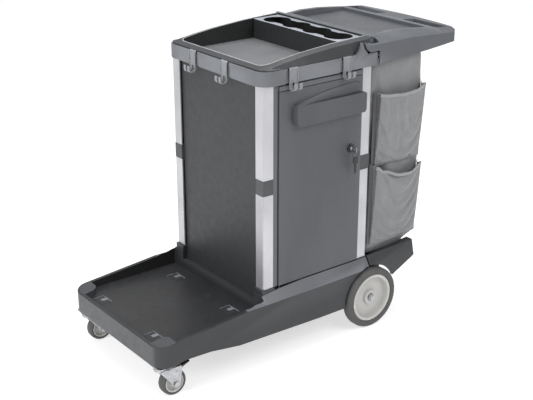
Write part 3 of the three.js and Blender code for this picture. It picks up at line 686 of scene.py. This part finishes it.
# ---- the bag and its pockets --------------------------------------------------------------------
def grid_mesh(name, columns, rows, point, closed=False):
    """A sheet through point(u, v), u across and v down from 0 to 1, or a bag when it is closed round."""
    bm = bmesh.new()
    spans = columns if closed else columns - 1
    verts = [[bm.verts.new(point(i / spans, j / (rows - 1))) for i in range(columns)] for j in range(rows)]
    for above, below in zip(verts, verts[1:]):
        for i in range(spans):
            k = (i + 1) % columns
            bm.faces.new((above[i], above[k], below[k], below[i]))
    if closed:
        bm.faces.new(verts[-1])
    return mesh_from(bm, name)


def crumple(x, z, seed, fine=1.0):
    """Soft folds, in millimetres: long shallow ones, diagonal creases and small dents."""
    long_fold = noise.noise(Vector((x * 0.010, seed, z * 0.0045)))
    diagonal = noise.noise(Vector(((x + z * 0.7) * 0.022, seed + 5, (x - z * 0.7) * 0.006)))
    dent = noise.noise(Vector((x * 0.045, seed + 9, z * 0.04)))
    ridge = 0.5 - abs(diagonal)
    return 3.4 * long_fold + 3.6 * ridge * fine + 1.6 * dent * fine


def ring_point(u, x0, x1, half, radius):
    """A point and its outward normal at share u of the way round a rounded rectangle."""
    lx, ly = x1 - x0 - 2 * radius, 2 * half - 2 * radius
    quarter = math.pi * radius / 2
    corners = ((x0 + radius, -half + radius, lx, 180), (x1 - radius, -half + radius, ly, 270),
               (x1 - radius, half - radius, lx, 0), (x0 + radius, half - radius, ly, 90))
    along = u * (2 * lx + 2 * ly + 4 * quarter)
    for cx, cy, straight, start in corners:
        if along <= quarter:
            angle = math.radians(start + 90 * along / quarter)
            n = Vector((math.cos(angle), math.sin(angle)))
            return Vector((cx, cy)) + n * radius, n
        along -= quarter
        if along <= straight + 1e-6:
            n = Vector((math.cos(math.radians(start + 90)), math.sin(math.radians(start + 90))))
            return Vector((cx, cy)) + n * radius + Vector((-n.y, n.x)) * along, n
        along -= straight
    return ring_point(0, x0, x1, half, radius)


BAG_PROFILE = (  # height, front x, rear x, half width: it hangs straight, then sits down into the skirt
    (867, 421, 627, 213), (845, 411, 629, 214), (760, 409, 631, 215), (590, 409, 633, 217),
    (514, 409, 629, 217), (400, 409, 633, 219), (300, 410, 634, 219), (272, 411, 630, 217),
    (256, 413, 611, 212), (244, 415, 593, 206), (230, 418, 586, 203), (225, 424, 580, 197))


def bag_section(z):
    """The bag's front x, rear x and half width at height z."""
    for (za, *a), (zb, *b) in zip(BAG_PROFILE, BAG_PROFILE[1:]):
        if z >= zb:
            share = (za - z) / (za - zb)
            return [p + (q - p) * share for p, q in zip(a, b)]
    return BAG_PROFILE[-1][1:]


def waste_bag():
    """The bag: it hangs from its loop and its foot sits in the skirt."""
    top, foot = BAG_PROFILE[0][0], BAG_PROFILE[-1][0]

    def point(u, v):
        z = top + (foot - top) * v
        x0, x1, half = bag_section(z)
        place, out = ring_point(u, x0, x1, half, 20)
        calm = min(1.0, (top - z) / 90) * min(1.0, max(0.0, z - 235) / 60)
        against_panel = 0.45 if out.x < -0.5 else 1.0
        swell = crumple(place.x + place.y * 0.9, z, 3.0) * calm * against_panel
        place = place + out * min(swell, 4.0)
        return mm(max(place.x, BAG_FRONT), place.y, z)

    mesh = grid_mesh("waste_bag_cloth", 150, 84, point, closed=True)
    bag = piece("waste_bag_cloth", mesh, "cart", "bag_fabric", ("waste_bag",), angle=60)
    hung, seated, against = 0.85, 0.262, FRONT_X + 0.412
    settle(bag, lambda p: p.z > hung or p.z < seated or p.x < against, 0.012)
    thicken(bag, 1.4)


def settle(obj, pinned, grow):
    """Lets the cloth hang between its pinned edges; it is cut wider than its gap by the share grow."""
    group = obj.vertex_groups.new(name="sewn")
    group.add([v.index for v in obj.data.vertices if pinned(v.co)], 1.0, "REPLACE")
    cloth = obj.modifiers.new("cloth", "CLOTH")
    settings = cloth.settings
    settings.quality = 6
    settings.mass = 0.2
    settings.tension_stiffness = settings.compression_stiffness = 30
    settings.shear_stiffness = 12
    settings.bending_stiffness = 0.6
    settings.air_damping = 4
    settings.shrink_min = -grow
    settings.vertex_group_mass = "sewn"
    cloth.collision_settings.use_collision = False
    cloth.point_cache.frame_start = 1
    cloth.point_cache.frame_end = SETTLE_FRAMES
    scene = bpy.context.scene
    scene.frame_end = SETTLE_FRAMES
    for step in range(1, SETTLE_FRAMES + 1):
        scene.frame_set(step)
    apply_modifiers(obj)
    scene.frame_set(1)


def thicken(obj, thickness):
    """Gives a sheet its thickness, half to each side."""
    solid = obj.modifiers.new("solid", "SOLIDIFY")
    solid.thickness = thickness / 1000
    solid.offset = 0.0
    apply_modifiers(obj)


def pocket(name, node, left, right, hem, bottom, seed):
    """A pleated pocket: its hem stands off the bag, its sides fold inwards, its foot is sewn flat."""
    def hem_height(x):
        for (xa, za), (xb, zb) in zip(hem, hem[1:]):
            if x <= xb:
                share = (x - xa) / (xb - xa)
                share = share * share * (3 - 2 * share)
                return za + (zb - za) * share
        return hem[-1][1]

    def plan(s, stand):
        path = ((left - 9, 0), (left + 9, 0.5 * stand), (left, stand), (right, stand),
                (right - 10, 0.5 * stand), (right + 6, 0))
        marks = (0, 0.10, 0.19, 0.81, 0.90, 1)
        for k in range(5):
            if s <= marks[k + 1] + 1e-9:
                share = (s - marks[k]) / (marks[k + 1] - marks[k])
                (xa, ya), (xb, yb) = path[k], path[k + 1]
                bow = 4.0 * math.sin(math.pi * share) if k == 2 else 0.0
                return xa + (xb - xa) * share, ya + (yb - ya) * share + bow * stand / 22, k == 2
        return right + 6, 0, False

    def point(s, t, lift=0.0):
        stand = 21 * (1 - t) ** 0.75 + 1.5
        x, y, front = plan(s, stand)
        top = hem_height(x) if front else hem_height(min(max(x, hem[0][0]), hem[-1][0]))
        z = top + (bottom - top) * t
        sides = min(1, max(0, s - 0.19) * 14, max(0, 0.81 - s) * 14)
        calm = min(1, t * 8) * min(1, (1 - t) * 7 + 0.15) * sides
        fold = 1.25 * crumple(x, z, seed, 1.5) * calm if front else 0.0
        crease = 1.6 * math.exp(-((x - (left + right) / 2 - 8) / 4.0) ** 2) * min(1, t * 6)
        return mm(x, -BAG_WALL - y - max(fold, -stand * 0.6) - (crease if front else 0) - lift, z)

    cloth = piece(name, grid_mesh(name, 90, 60, point), "cart", "bag_fabric", (node,), angle=60)
    front, back = mm(left + 3.5, 0, 0).x, mm(right - 4, 0, 0).x
    foot, hem_foot = (bottom + 4) / 1000, (hem[0][1] - 30) / 1000
    # The folded-in sides get the dark copy of the cloth: painted shade
    tint_faces(cloth, "gusset_shade", lambda c, n: c.x < front)
    settle(cloth, lambda p: p.z < foot or p.x < front or p.x > back or p.z > hem_foot, 0.035)
    thicken(cloth, 1.2)
    band = grid_mesh(f"{name}_hem", 90, 4, lambda s, t: point(0.15 + 0.7 * s, t * 0.045, 1.0))
    edge = piece(f"{name}_hem", band, "cart", "bag_fabric", material="hem", angle=60)
    thicken(edge, 1.6)


def soft_parts():
    """The bag and its two pockets, each with its hem's (x, height) points and the height of its foot."""
    waste_bag()
    pocket("pocket_upper_cloth", "bag_pocket_upper", 430, 620,
           ((415, 764), (470, 754), (530, 749), (575, 751), (630, 767)), 524, 11.0)
    pocket("pocket_lower_cloth", "bag_pocket_lower", 424, 618,
           ((405, 545), (428, 532), (456, 514), (526, 491), (566, 487), (630, 512)), 268, 17.0)


set_stage()
rigid_parts()
soft_parts()
